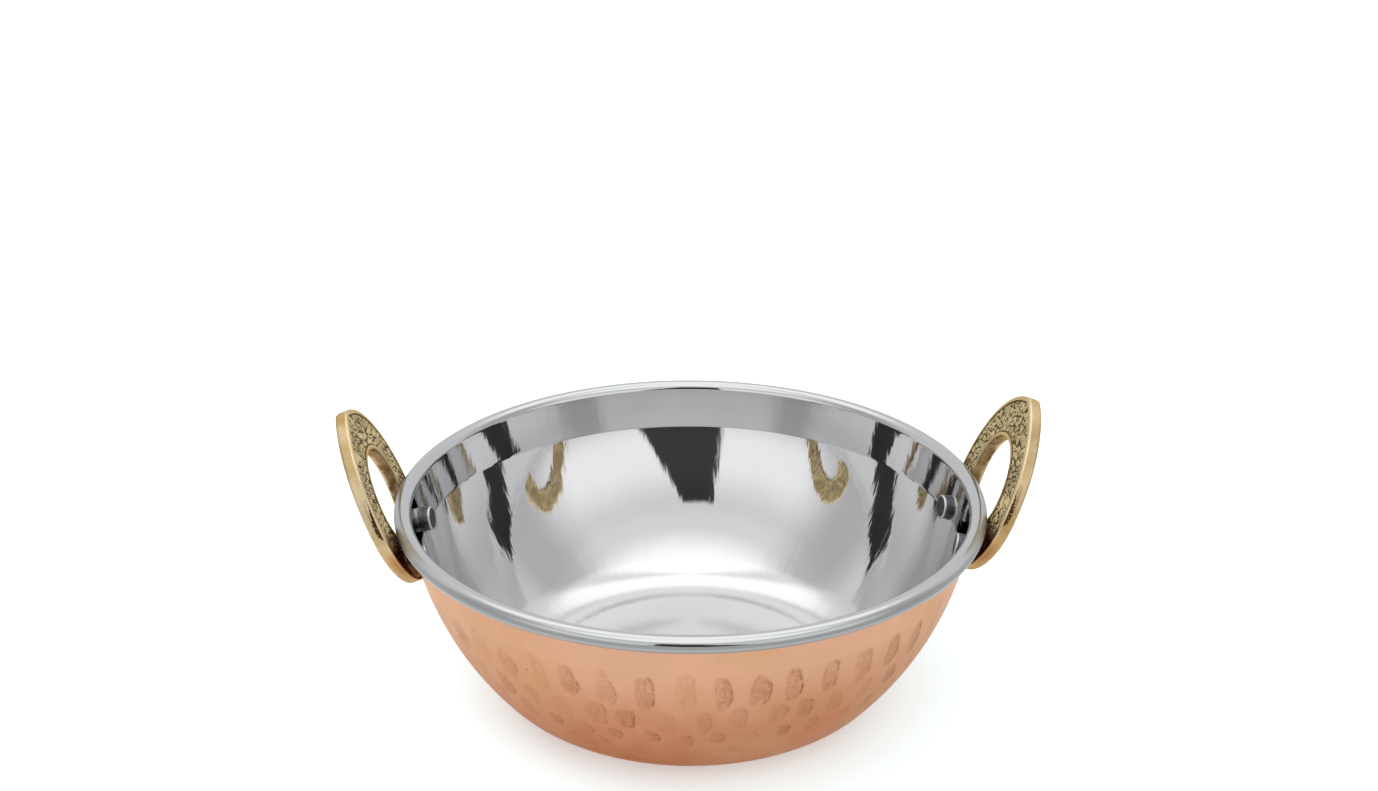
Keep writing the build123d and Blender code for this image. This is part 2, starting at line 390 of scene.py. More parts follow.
# Rings of leaves round a rosette: radius, count, swing of their headings and stagger
LEAF_RINGS = ((1.8, 6, 0.25, 0), (3.6, 10, 1.1, 0.5), (5.3, 15, 0.45, 0.5), (7.0, 20, 1.1, 0.5))
RING_SPREAD = 0.16  # radians, of single headings
FILLINGS = ((LEAF_SIZE, 700), (BUD_SIZE, 2500))  # sizes and tries between the rosettes
FILLING_SHARES = (0.03, 0.97)
FILLING_SPREAD = 0.6
LEAF_HEIGHTS = (0.75, 1.0)
LEAF_DOME = 0.3
LEAF_GAP = (0.1, 0.34)  # bare part and slope of the groove between two leaves, in reach
LEAF_END = (1.25, 0.25)  # reach at which a leaf meets the field, and its slope there
RIB_WIDTH = 0.11
RIB_DEPTH = 0.5
RIB_REACH = (0.8, 0.3)  # share of the half length that it covers, and the softness of its ends
FAR = 9.0  # reach of a point that lies in no leaf


def plate_outline(inset):
    """Outline of the plate at an inset, as distance from the eye's centre by angle."""
    shoulder_offset = RING_HALF_WIDTH - SHOULDER_RADIUS
    foot_depth = RING_WAIST + RING_DROP
    foot_radius = (shoulder_offset**2 + foot_depth**2 - SHOULDER_RADIUS**2) / (
        2 * (foot_depth - SHOULDER_RADIUS)
    )
    foot_angle = math.degrees(math.atan2(shoulder_offset, foot_radius - foot_depth))
    top_angle = math.degrees(math.acos(ARCH_OFFSET / (ARCH_RADIUS - inset)))
    side = run(
        *(
            arc(centre, radius - inset, start, end, OUTLINE_STEP)
            for centre, radius, start, end in (
                ((0, foot_radius - RING_DROP), foot_radius, -90, -90 + foot_angle),
                ((shoulder_offset, RING_WAIST), SHOULDER_RADIUS, foot_angle - 90, 0),
                ((-ARCH_OFFSET, RING_WAIST), ARCH_RADIUS, 0, top_angle),
            )
        )
    ) - [0, EYE_RISE]
    return np.arctan2(side[:, 1], side[:, 0]), np.hypot(*side.T)


def field_edge(sine, outline):
    """Outer radius of the carving by the sine of the angle about the eye, the same on each side."""
    return np.interp(np.arcsin(np.clip(sine, -1, 1)), *outline) - CARVING_SKIRT


def strip_point(angle, share, outline):
    """Point of the field at an angle about the eye and a share of the way across it."""
    inner = EYE_RADIUS + BORDER_WIDTH + CARVING_SKIRT
    radius = inner + (field_edge(np.sin(angle), outline) - inner) * share
    return np.stack([radius * np.cos(angle), radius * np.sin(angle)], -1)


def leaf_reach(offset, leaf):
    """How far a point lies in a leaf, 1 at its edge, and its place along and across it."""
    _, heading, length, width = leaf
    way = np.array([math.cos(heading), math.sin(heading)])
    along = offset @ way
    across = offset @ np.array([-way[1], way[0]]) + LEAF_BEND * along**2
    taper = width * (1 - LEAF_TAPER * np.clip(along / length, -1, 1))
    return np.hypot(along / length, across / taper), along, across


def place_leaves(outline, draw):
    """Leaves of the scroll, in rosettes along the ring, and leaves and buds between them."""
    leaves = []

    def add(middle, heading, size, apart):
        radius = np.hypot(*middle)
        inner = EYE_RADIUS + BORDER_WIDTH
        outer = field_edge(middle[1] / radius, outline)
        if not inner + LEAF_MARGIN < radius < outer - LEAF_MARGIN:
            return
        if all(leaf_reach(middle - leaf[0], leaf)[0] > apart for leaf in leaves):
            leaves.append((middle, heading, *size))

    for hand in (1, -1):
        for k in range(UNITS + 1):
            if hand < 0 and k in (0, UNITS):
                continue
            turn = math.pi / 2 - hand * (math.pi / UNITS) * k
            core = strip_point(np.array(turn), CORE_SHARES[k % 2], outline)
            add(core, turn, CORE_SIZE, CORE_APART)
            first = draw.uniform(0, ANY_TURN)
            for ring, count, swing, stagger in LEAF_RINGS:
                for n in range(count):
                    angle = first + (n + stagger) * 2 * math.pi / count
                    middle = core + ring * unit(math.degrees(angle))
                    heading = angle + hand * (swing + draw.normal(0, RING_SPREAD))
                    add(middle, heading, LEAF_SIZE, LEAF_APART)
    for size, tries in FILLINGS:
        for _ in range(tries):
            turn = draw.uniform(-math.pi, math.pi)
            middle = strip_point(np.array(turn), draw.uniform(*FILLING_SHARES), outline)
            heading = turn + math.pi / 2 + draw.normal(0, FILLING_SPREAD)
            add(middle, heading, size, LEAF_APART)
    return leaves


def carving_height(grid, outline):
    """Height of the carving over its field: domed, ribbed leaves parted by narrow grooves."""
    nearest = np.full(grid.shape[:-1], FAR)
    second = nearest.copy()
    rib = np.zeros_like(nearest)
    lift = np.zeros_like(nearest)
    draw = np.random.default_rng(SEED)
    for leaf in place_leaves(outline, draw):
        reach, along, across = leaf_reach(grid - leaf[0], leaf)
        level = draw.uniform(*LEAF_HEIGHTS)
        closer = reach < nearest
        second = np.where(closer, nearest, np.minimum(second, reach))
        nearest = np.where(closer, reach, nearest)
        ends = smooth((RIB_REACH[0] * leaf[2] - abs(along)) / RIB_REACH[1])
        crease = np.exp(-((across / RIB_WIDTH) ** 2)) * ends
        rib = np.where(closer, crease * (leaf[2] > 1), rib)
        lift = np.where(closer, level, lift)
    edge = smooth((second - nearest - LEAF_GAP[0]) / LEAF_GAP[1])
    edge = edge * smooth((LEAF_END[0] - nearest) / LEAF_END[1])
    dome = 1 - LEAF_DOME * np.clip(nearest, 0, 1) ** 2
    return lift * edge * dome * (1 - RIB_DEPTH * rib)


def plate_matrix():
    """From the plate's own frame to the right handle's place, in millimetres."""
    lean = math.radians(HANDLE_LEAN)
    beside = np.array([0, 1, 0])
    up = np.array([math.sin(lean), 0, math.cos(lean)])
    away = np.array([math.cos(lean), 0, -math.sin(lean)])
    return np.stack([beside, up, away], 1), np.array([RIM_RADIUS - RIM_NEST, 0, BEAD_HEIGHT])


def on_handle(points, sign):
    """Points of the plate's frame in the place of one handle."""
    turn, origin = plate_matrix()
    return (points @ turn.T + origin).reshape(-1, 3) * [sign, sign, 1]


def carvings():
    """The same carving in the field of each handle."""
    outline = plate_outline(BORDER_WIDTH)
    angles = full_turn(CARVING_COLUMNS)
    shares = np.linspace(0, 1, CARVING_ROWS)
    grid = strip_point(angles[None, :] + 0 * shares[:, None], shares[:, None], outline)
    fade = np.clip(np.minimum(shares, 1 - shares) * CARVING_FADE, 0, 1)[:, None]
    height = carving_height(grid, outline) * fade
    flat = np.concatenate([grid[:1], grid, grid[-1:]])
    level = np.concatenate([0 * height[:1], height, 0 * height[-1:]])
    away = FIELD_DEPTH - level * RELIEF
    away[[0, -1]] = FIELD_DEPTH + CARVING_SINK
    local = np.concatenate([flat + [0, EYE_RISE], away[..., None]], -1)
    faces = grid_faces(len(flat), CARVING_COLUMNS, wrap_rows=True)
    return [
        mesh_object(f"carving_{side}", on_handle(local, sign), faces, [("relief", level)])
        for side, sign in HANDLES
    ]


# Rough torn floor of the worn groove in each side of each handle

GROOVE_STEPS = (150, 18)  # points along and across
GROOVE_SPAN = 0.47  # share of the groove's length to each side of its middle
GROOVE_ENDS = (0.02, 0.98)  # shares of its width
LUMP_CELL = 3  # points of the floor between two random values
GROOVE_LIFT = 0.01
LUMP_CONTRAST = (1.6, 0.3)
LUMP_MARGIN = 0.04  # least depth that the lumps leave open
LUMP_SHARE = 0.95
LUMP_CLEAN = 0.45  # share of the darkening that the lumps are spared
# The torn part is leaf shaped. It widens over a share of the length from its lower end, and
# narrows towards a place near its upper end, over another share
TEAR_START = 0.12
TEAR_END = (0.5, 0.6)
TEAR_SIZES = (0.6, 1.1)
TEAR_LEAN = 0.85
TEAR_SOFT = 0.15


def lumpy_grid(shape, draw):
    """Random values over a grid, straight between those of a coarser grid."""
    rough = draw.uniform(0, 1, [size // LUMP_CELL + 2 for size in shape])
    rows, columns = (
        np.linspace(0, coarse - 1.001, size) for coarse, size in zip(rough.shape, shape)
    )
    low_row, low_column = rows.astype(int), columns.astype(int)
    share_row, share_column = (rows - low_row)[:, None], (columns - low_column)[None, :]
    values = np.zeros(shape)
    for right, part_right in enumerate((1 - share_column, share_column)):
        for down, part_down in enumerate((1 - share_row, share_row)):
            corner = rough[np.ix_(low_row + down, low_column + right)]
            values += corner * part_down * part_right
    return values


def groove_floor():
    """Points of the floor in the plate's frame, and how torn each is."""
    length = GROOVE_SHARE * RING_HALF_WIDTH
    hollow = 1 / (1 / ARCH_RADIUS - 8 * GROOVE_DEPTH / length**2)
    draw = np.random.default_rng(SEED + 1)
    middle = unit(GROOVE_TURN)
    tangent = np.array([-middle[1], middle[0]])
    along = np.linspace(-GROOVE_SPAN, GROOVE_SPAN, GROOVE_STEPS[0]) * length
    sink = ARCH_RADIUS - GROOVE_DEPTH - hollow + np.sqrt(hollow**2 - along**2)
    open_depth = np.sqrt(ARCH_RADIUS**2 - along**2) - sink
    away = np.linspace(*GROOVE_ENDS, GROOVE_STEPS[1])
    lumps = smooth(lumpy_grid(GROOVE_STEPS, draw) * LUMP_CONTRAST[0] - LUMP_CONTRAST[1])
    lumps = lumps * np.sin(math.pi * away)[None, :] ** 0.5
    room = np.clip(open_depth - LUMP_MARGIN, 0, None)[:, None]
    height = GROOVE_LIFT + lumps * room * LUMP_SHARE
    centre = np.array([-ARCH_OFFSET, RING_WAIST])
    flat = centre + (sink[:, None] + height)[..., None] * middle + along[:, None, None] * tangent
    deep = np.broadcast_to(GROOVE_NEAR + GROOVE_WIDTH * away, height.shape)
    share = along / length
    leaf = smooth((share + GROOVE_SPAN) / TEAR_START) * smooth((TEAR_END[0] - share) / TEAR_END[1])
    tears = draw.uniform(*TEAR_SIZES, GROOVE_STEPS[0] // LUMP_CELL + 1)
    edge = (leaf * np.repeat(tears, LUMP_CELL)[: GROOVE_STEPS[0]])[:, None]
    torn = smooth((edge - TEAR_LEAN * away[None, :]) / TEAR_SOFT) * (1 - LUMP_CLEAN * lumps)
    return np.concatenate([flat, deep[..., None]], -1), torn


def side_grooves():
    """The torn floor in both sides of each handle, the far one mirrored from the near one."""
    points, torn = groove_floor()
    faces = grid_faces(*GROOVE_STEPS, wrap_columns=False)
    made = []
    for side, sign in HANDLES:
        for end, hand in (("near", -1), ("far", 1)):
            placed = on_handle(points * [hand, 1, 1], sign)
            ordered = [face[::hand] for face in faces]
            made.append(mesh_object(f"groove_{side}_{end}", placed, ordered, [("torn", torn)]))
    return made


# Shader trees


class Nodes:
    """A node tree with short calls. Lengths are in millimetres where a call says so."""

    def __init__(self, tree):
        self.tree = tree

    def node(self, kind, inputs=None, **settings):
        made = self.tree.nodes.new(kind)
        for key, value in settings.items():
            setattr(made, key, value)
        for key, value in (inputs or {}).items():
            self.feed(made.inputs[key], value)
        return made

    def feed(self, socket, value):
        if isinstance(value, bpy.types.NodeSocket):
            self.tree.links.new(value, socket)
        else:
            socket.default_value = value

    def math(self, operation, *values):
        inputs = dict(enumerate(values))
        return self.node("ShaderNodeMath", inputs, operation=operation).outputs[0]

    def chain(self, operation, first, *others):
        for other in others:
            first = self.math(operation, first, other)
        return first

    def product(self, *values):
        return self.chain("MULTIPLY", *values)

    def total(self, *values):
        return self.chain("ADD", *values)

    def distance(self, x, y):
        return self.math("SQRT", self.total(self.product(x, x), self.product(y, y)))

    def vector(self, operation, *values, output="Vector"):
        inputs = dict(enumerate(values))
        return self.node("ShaderNodeVectorMath", inputs, operation=operation).outputs[output]

    def split(self, point):
        return self.node("ShaderNodeSeparateXYZ", {"Vector": point}).outputs

    def noise(self, vector, scale, detail=4.0, roughness=0.5):
        inputs = {"Vector": vector, "Scale": scale, "Detail": detail, "Roughness": roughness}
        return self.node("ShaderNodeTexNoise", inputs).outputs["Fac"]

    def span(self, value, low, high, to_low, to_high, **settings):
        """Change of range, kept within its ends."""
        inputs = {0: value, 1: low, 2: high, 3: to_low, 4: to_high}
        return self.node("ShaderNodeMapRange", inputs, **settings).outputs[0]

    def length_span(self, value, low, high, to_low, to_high):
        """Change of range of a length in metres, from ends in millimetres."""
        return self.span(value, low * MM, high * MM, to_low, to_high)

    def blend(self, share, first, second):
        """Mix of two colours, whose sockets on the mix node are 6 and 7, and the result 2."""
        inputs = {0: share, 6: first, 7: second}
        return self.node("ShaderNodeMix", inputs, data_type="RGBA").outputs[2]


class Shader(Nodes):
    """The node tree of a new material, around its one surface."""

    def __init__(self, name):
        self.material = bpy.data.materials.new(name)
        self.material.use_nodes = True
        super().__init__(self.material.node_tree)
        self.surface = self.tree.nodes["Principled BSDF"]

    def set(self, **inputs):
        for key, value in inputs.items():
            self.feed(self.surface.inputs[key.replace("_", " ")], value)

    def attribute(self, name):
        return self.node("ShaderNodeAttribute", attribute_name=name).outputs["Fac"]

    def object_point(self):
        return self.node("ShaderNodeTexCoord").outputs["Object"]

    def turned(self, around, outward, upward):
        """Lathe coordinates: along the turn, away from the axis and up, each scaled."""
        x, y, z = self.split(self.object_point())
        scaled = {
            "X": self.product(self.math("ARCTAN2", y, x), around),
            "Y": self.product(self.distance(x, y), outward),
            "Z": self.product(z, upward),
        }
        return self.node("ShaderNodeCombineXYZ", scaled).outputs[0]

    def bump(self, height, distance, normal=None):
        """Bump whose height of 1 stands for a distance in millimetres."""
        inputs = {"Height": height, "Distance": distance * MM}
        if normal is not None:
            inputs["Normal"] = normal
        return self.node("ShaderNodeBump", inputs).outputs[0]


def colour(red, green, blue):
    """Linear colour, with its alpha."""
    return (red, green, blue, 1.0)


# Finish of the steel

STEEL_TONES = (colour(0.65, 0.65, 0.66), colour(0.68, 0.68, 0.69))
BEAD_TONE = colour(0.54, 0.55, 0.56)
# Painted shade on the rolled edge beside the handles, and on its outer, lower side
HANDLE_SHADE_TONE = colour(0.30, 0.30, 0.30)
EDGE_SHADE_TONE = colour(0.40, 0.415, 0.425)
HANDLE_SHADE_SHARE = 0.1
EDGE_ROUGHNESS = 0.12
DULL_ROUGHNESS = 0.4
BEAD_RADII = (65.5, 66.2)
EDGE_RADII = (68.6, 69.0)
EDGE_HEIGHTS = (48.2, 49.2)
DULL_SHADE_RADII = (68.0, 69.0)
DULL_SHADE_SIDES = (56, 63)  # distance from the middle plane, where the rolled edge beside the handles gets rougher and takes painted shade
WORN_HEIGHTS = (1, 14)
WORN_ROUGHNESS = 0.13
# Slope by which the pressed wall's polish leans back: its least, at which height, and its growth
FLARE_LEAST = 0.045
FLARE_HEIGHT = 22.0
FLARE_GROWTH = 0.00008


def wall_flare(s, z):
    """Normal of the polish on the pressed wall, which leans back more than the solid does."""
    ends = (WALL, CREASE_END[1])
    level = s.math("SUBTRACT", s.length_span(z, *ends, *ends), FLARE_HEIGHT)
    bend = s.product(s.math("POWER", level, 3.0), FLARE_GROWTH / 3)
    return s.bump(s.total(s.product(level, FLARE_LEAST), bend), -1.0)


def steel_material():
    """Polished steel: turning lines, cloudy polish, softer floor, and a rougher rolled edge with
    painted shade on its outer side and beside the handles.
    """
    s = Shader("polished_steel")
    point = s.object_point()
    rings = s.noise(s.turned(1.2, 5200, 5200), 1.0, 3.0, 0.6)
    clouds = s.noise(point, 38, 4.0)
    waves = s.noise(s.turned(14, 60, 70), 1.0, 3.0)
    x, y, z = s.split(point)
    radius = s.distance(x, y)
    edge = s.product(
        s.length_span(radius, *EDGE_RADII, 0, 1), s.length_span(z, *EDGE_HEIGHTS, 1, 0)
    )
    beside = s.length_span(s.math("ABSOLUTE", x), *DULL_SHADE_SIDES, 0, 1)
    dull_and_shaded = s.product(s.length_span(radius, *DULL_SHADE_RADII, 0, 1), beside)
    tone = s.blend(s.span(clouds, 0.35, 0.7, 0, 1), *STEEL_TONES)
    tone = s.blend(s.length_span(radius, *BEAD_RADII, 0, 1), tone, BEAD_TONE)
    # painted shade on the rolled edge beside the handles
    tone = s.blend(s.product(dull_and_shaded, HANDLE_SHADE_SHARE), tone, HANDLE_SHADE_TONE)
    polish = s.total(
        s.length_span(z, *WORN_HEIGHTS, WORN_ROUGHNESS, 0),
        s.span(clouds, 0.3, 0.7, 0.02, 0.045),
        s.span(rings, 0.4, 0.7, 0.0, 0.03),
    )
    duller = s.math("MAXIMUM", s.product(edge, EDGE_ROUGHNESS), s.product(dull_and_shaded, DULL_ROUGHNESS))
    s.set(
        # painted shade on the outer, lower side of the rolled edge
        Base_Color=s.blend(edge, tone, EDGE_SHADE_TONE),
        Metallic=1.0,
        Roughness=s.total(polish, duller),
        Normal=s.bump(waves, 0.05, s.bump(rings, 0.001, wall_flare(s, z))),
    )
    return s.material


# Finish of the copper

# Darker, redder copper towards the bottom: painted shade near the floor
COPPER_SHADED_LOW = colour(0.59, 0.155, 0.012)
COPPER_HIGH = colour(0.70, 0.40, 0.265)
COPPER_HEIGHTS = (2, 36)
COPPER_CLOUD = colour(0.77, 0.45, 0.285)
COPPER_PATINA = colour(0.63, 0.36, 0.17)
MARK_FILL = colour(0.55, 0.265, 0.14)
MARK_HATCH = colour(0.33, 0.13, 0.06)
# Painted shade along each hammer mark's steep side
MARK_CRESCENT_SHADE = colour(0.22, 0.075, 0.03)
COPPER_SPECK = colour(0.26, 0.09, 0.04)
COPPER_TINT = colour(1.0, 0.91, 0.80)
HATCH_SHARE = 0.5
MARK_ROUGHNESS = 0.07


def copper_material():
    """Satin copper: brushed round, hatched and browner in the hammer marks, with small specks;
    painted shade on the marks' steep sides and towards the bottom.
    """
    s = Shader("hammered_copper")
    point = s.object_point()
    mark, crescent_shade = s.attribute("mark"), s.attribute("crescent_shade")
    brush = s.noise(s.turned(6, 900, 2600), 1.0, 4.0, 0.65)
    upright = s.noise(s.turned(190, 260, 300), 1.0, 2.0, 0.6)
    level = s.noise(s.turned(26, 900, 2200), 1.0, 2.0, 0.6)
    hatch = s.math(
        "MAXIMUM", s.span(upright, 0.52, 0.62, 0, 1), s.span(level, 0.55, 0.65, 0, 1)
    )
    hatched = s.product(hatch, mark)
    clouds = s.noise(point, 55, 5.0, 0.6)
    patina = s.noise(point, 34, 4.0, 0.6)
    blots = s.noise(point, 210, 3.0, 0.6)
    torn = s.noise(point, 620, 3.0, 0.65)
    specks = s.noise(point, 420, 2.0, 0.5)
    # painted shade: darker towards the bottom
    rise = s.length_span(s.split(point)[2], *COPPER_HEIGHTS, 0, 1)
    tone = s.blend(rise, COPPER_SHADED_LOW, COPPER_HIGH)
    for share, laid in (
        (s.span(clouds, 0.38, 0.7, 0, 0.62), COPPER_CLOUD),
        (s.span(patina, 0.5, 0.7, 0, 0.55), COPPER_PATINA),
        (s.product(mark, s.span(blots, 0.35, 0.65, 0.15, 0.9)), MARK_FILL),
        (s.product(hatched, HATCH_SHARE), MARK_HATCH),
        # painted shade along each mark's steep side
        (s.product(crescent_shade, s.span(torn, 0.41, 0.53, 0.15, 1.0)), MARK_CRESCENT_SHADE),
        (s.span(specks, 0.755, 0.79, 0, 0.55), COPPER_SPECK),
    ):
        tone = s.blend(share, tone, laid)
    rough = s.span(brush, 0.3, 0.7, 0.27, 0.38)
    s.set(
        Base_Color=tone,
        Metallic=1.0,
        Specular_Tint=COPPER_TINT,
        Roughness=s.total(rough, s.product(mark, MARK_ROUGHNESS)),
        Normal=s.bump(hatched, 0.03, s.bump(brush, 0.012)),
    )
    return s.material


# Finishes of the brass

BRASS_TONES = (colour(0.51, 0.345, 0.145), colour(0.64, 0.475, 0.24))
BRASS_BLOT = colour(0.72, 0.575, 0.36)
BRASS_LOW = colour(0.46, 0.315, 0.13)
# Painted shade with a painted reflection of the copper, below the rim
BRASS_UNDER_RIM_SHADE = colour(0.42, 0.185, 0.045)
# Painted dark reflection on the eye wall
BRASS_EYE_DARK_REFLECTION = colour(0.13, 0.065, 0.016)
# Worn front edge: lighter from wear and from a painted highlight
BRASS_WORN_HIGHLIGHT = colour(0.78, 0.65, 0.43)
# Painted shade under the rim
BRASS_SHADE = colour(0.075, 0.02, 0.007)
BRASS_PIT = colour(0.33, 0.18, 0.06)
BRASS_TINT = colour(1.0, 0.86, 0.6)
TORN_DARK = colour(0.085, 0.048, 0.014)
TORN_ROUGHNESS = 0.36
CARVED_TONES = (colour(0.52, 0.40, 0.175), colour(0.74, 0.60, 0.315))
# Painted highlight on each leaf's crown
CARVED_HIGHLIGHT = colour(0.88, 0.76, 0.47)
CARVED_GROUND = colour(0.045, 0.028, 0.009)
# Painted shade under the rim
CARVED_SHADE = colour(0.05, 0.014, 0.006)
SHADE_SHARE = 0.94  # of the painted shade by the rim


def plate_place(s, point):
    """Place in the nearer handle's plate: behind its front, from the eye's centre, and height."""
    x, y, z = s.split(point)
    out = s.math("SUBTRACT", s.math("ABSOLUTE", x), (RIM_RADIUS - RIM_NEST) * MM)
    rise = s.math("SUBTRACT", z, BEAD_HEIGHT * MM)
    lean = math.radians(HANDLE_LEAN)
    cosine, sine = math.cos(lean) / MM, math.sin(lean) / MM
    away = s.math("SUBTRACT", s.product(out, cosine), s.product(rise, sine))
    along = s.total(s.product(out, sine), s.product(rise, cosine))
    above = s.math("SUBTRACT", along, EYE_RISE)
    eye = s.distance(above, s.math("DIVIDE", y, MM))
    return away, eye, s.math("DIVIDE", z, MM)


def brass_tone(s, point, clouds, away, height):
    """Blotchy colour of plain brass, darker towards its bottom, and browner below the rim as
    painted shade with a painted reflection of the copper.
    """
    blots = s.noise(point, 62, 4.0, 0.6)
    # painted shade and painted copper reflection in a band below the rim
    under_rim_shade = s.product(s.span(height, 36, 40, 0, 1), s.span(height, 43, 47, 1, 0))
    tone = s.blend(s.span(clouds, 0.36, 0.66, 0, 1), *BRASS_TONES)
    tone = s.blend(s.span(blots, 0.42, 0.6, 0, 0.95), tone, BRASS_BLOT)
    tone = s.blend(s.span(height, 32, 40, 0.8, 0), tone, BRASS_LOW)
    return s.blend(s.product(under_rim_shade, s.span(away, 0.6, 2.6, 0.9, 0.2)), tone, BRASS_UNDER_RIM_SHADE)


def brass_material():
    """Cast brass: blotchy sides, a worn front edge with a painted highlight, a painted dark
    reflection on the eye wall, and painted shade by the rim.
    """
    s = Shader("cast_brass")
    point = s.object_point()
    away, eye, height = plate_place(s, point)
    clouds = s.noise(point, 120, 5.0, 0.6)
    streaks = s.noise(point, 260, 4.0, 0.65)
    pits = s.noise(point, 1500, 3.0, 0.6)
    ragged = s.total(away, s.span(streaks, 0.3, 0.7, -0.8, 0.8))
    # painted dark reflection on the eye wall
    eye_dark_reflection = s.product(
        s.span(eye, EYE_RADIUS + 0.1, EYE_RADIUS + 0.3, 1, 0), s.span(ragged, 2.1, 2.8, 1, 0)
    )
    # worn front edge, lighter from wear and from a painted highlight
    worn = s.product(
        s.span(away, 0.4, 0.7, 0.6, 0), s.span(eye, EYE_RADIUS + 1.5, EYE_RADIUS + 3, 0.3, 1)
    )
    # painted shade on the front face under the rim
    shade = s.product(s.span(away, 0.05, 0.5, 1, 0), s.span(height, 44, 48.5, 1, 0))
    tone = brass_tone(s, point, clouds, away, height)
    for share, laid in (
        (s.product(eye_dark_reflection, s.span(streaks, 0.35, 0.6, 1.0, 0.6)), BRASS_EYE_DARK_REFLECTION),
        (worn, BRASS_WORN_HIGHLIGHT),
        (s.product(shade, SHADE_SHARE), BRASS_SHADE),
        (s.span(pits, 0.62, 0.73, 0, 0.5), BRASS_PIT),
    ):
        tone = s.blend(share, tone, laid)
    s.set(
        Base_Color=tone,
        Metallic=1.0,
        Specular_Tint=BRASS_TINT,
        Roughness=s.total(
            s.span(clouds, 0.3, 0.7, 0.28, 0.38), s.span(away, 0.45, 0.75, -0.08, 0)
        ),
        Normal=s.bump(pits, 0.03, s.bump(streaks, 0.06, s.bump(clouds, 0.2))),
    )
    return s.material


def torn_material():
    """Brass, darker in its torn pits."""
    s = Shader("torn_brass")
    point = s.object_point()
    away, _, height = plate_place(s, point)
    clouds = s.noise(point, 120, 5.0, 0.6)
    grain = s.noise(point, 2200, 3.0, 0.6)
    tone = brass_tone(s, point, clouds, away, height)
    torn = s.total(s.attribute("torn"), s.span(grain, 0.3, 0.7, -0.2, 0.2))
    s.set(
        Base_Color=s.blend(s.span(torn, 0.15, 0.6, 0, 1), tone, TORN_DARK),
        Metallic=1.0,
        Specular_Tint=BRASS_TINT,
        Roughness=TORN_ROUGHNESS,
        Normal=s.bump(grain, 0.06),
    )
    return s.material


def carved_material():
    """Carved brass: pale worn tops with a painted highlight on each leaf's crown, dark grooves, and
    painted shade under the rim.
    """
    s = Shader("carved_brass")
    point = s.object_point()
    _, _, height = plate_place(s, point)
    relief = s.attribute("relief")
    clouds = s.noise(point, 170, 4.0, 0.6)
    grain = s.noise(point, 3000, 2.0, 0.6)
    high = s.span(s.total(relief, s.span(grain, 0.3, 0.7, -0.08, 0.08)), 0.18, 0.6, 0, 1)
    raised = s.blend(s.span(clouds, 0.35, 0.7, 0, 1), *CARVED_TONES)
    # painted highlight on each leaf's crown
    raised = s.blend(s.span(relief, 0.66, 0.95, 0, 0.8), raised, CARVED_HIGHLIGHT)
    tone = s.blend(high, CARVED_GROUND, raised)
    # painted shade under the rim
    tone = s.blend(s.span(height, 44.5, 49.5, SHADE_SHARE, 0), tone, CARVED_SHADE)
    s.set(
        Base_Color=tone,
        Metallic=s.span(high, 0, 1, 0.5, 1.0),
        Roughness=s.span(high, 0, 1, 0.6, 0.34),
        Normal=s.bump(grain, 0.03),
    )
    return s.material


# Finish of the rivets

# Painted shade on the rivet's face and side, and a painted highlight on its edge
RIVET_SHADED_TONES = (colour(0.085, 0.085, 0.088), colour(0.15, 0.15, 0.155))
RIVET_HIGHLIGHT = colour(0.85, 0.85, 0.86)
RIVET_RING = (RIVET_HEAD - 0.55, RIVET_HEAD - 0.25)  # radii between which the painted highlight on the edge starts
RIVET_TOP = (-(WALL + 1.5), -(WALL + 0.9))  # places along the rivet's axis, where it ends


def rivet_material():
    """Rivet steel: painted shade on its dull face and side, and a painted highlight on its edge."""
    s = Shader("rivet_steel")
    point = s.object_point()
    clouds = s.noise(point, 700, 3.0, 0.6)
    height = BEAD_HEIGHT - RIVET_DROP
    turn = math.asin(RIVET_SPREAD / band_face(height))
    lean = math.radians(BAND_LEAN)
    axis = (math.cos(lean) * math.cos(turn), math.cos(lean) * math.sin(turn), -math.sin(lean))
    middle = (band_face(height) * math.cos(turn) * MM, RIVET_SPREAD * MM, height * MM)
    offset = s.vector("SUBTRACT", s.vector("ABSOLUTE", point), middle)
    away = s.vector("LENGTH", s.vector("CROSS_PRODUCT", offset, axis), output="Value")
    depth = s.vector("DOT_PRODUCT", offset, axis, output="Value")
    edge = s.product(
        s.length_span(away, *RIVET_RING, 0, 1), s.length_span(depth, *RIVET_TOP, 1, 0)
    )
    # painted shade on the face and side
    tone = s.blend(s.span(clouds, 0.35, 0.7, 0, 1), *RIVET_SHADED_TONES)
    s.set(
        # painted highlight on the edge
        Base_Color=s.blend(edge, tone, RIVET_HIGHLIGHT),
        Metallic=1.0,
        Roughness=s.span(clouds, 0.3, 0.7, 0.26, 0.42),
        Normal=s.bump(clouds, 0.04),
    )
    return s.material


# Finish of the floor

FLOOR_SIZE = 6.0  # metres
FLOOR_DROP = 0.02  # below the kadai's base, in millimetres
FLOOR_TONE = colour(0.60, 0.60, 0.60)
# Cyan tint for the camera that cancels the copper's warm bounce light in the floor's shadow
FLOOR_SEEN_TONE = colour(0.78, 0.95, 0.99)
FLOOR_GLOW = 0.42  # light of its own for the camera
FLOOR_MIRROR_GLOW = 0.33  # and for reflections, close to the kadai only
FLOOR_MIRROR_RADII = (115, 160)
WHITE = colour(1.0, 1.0, 1.0)


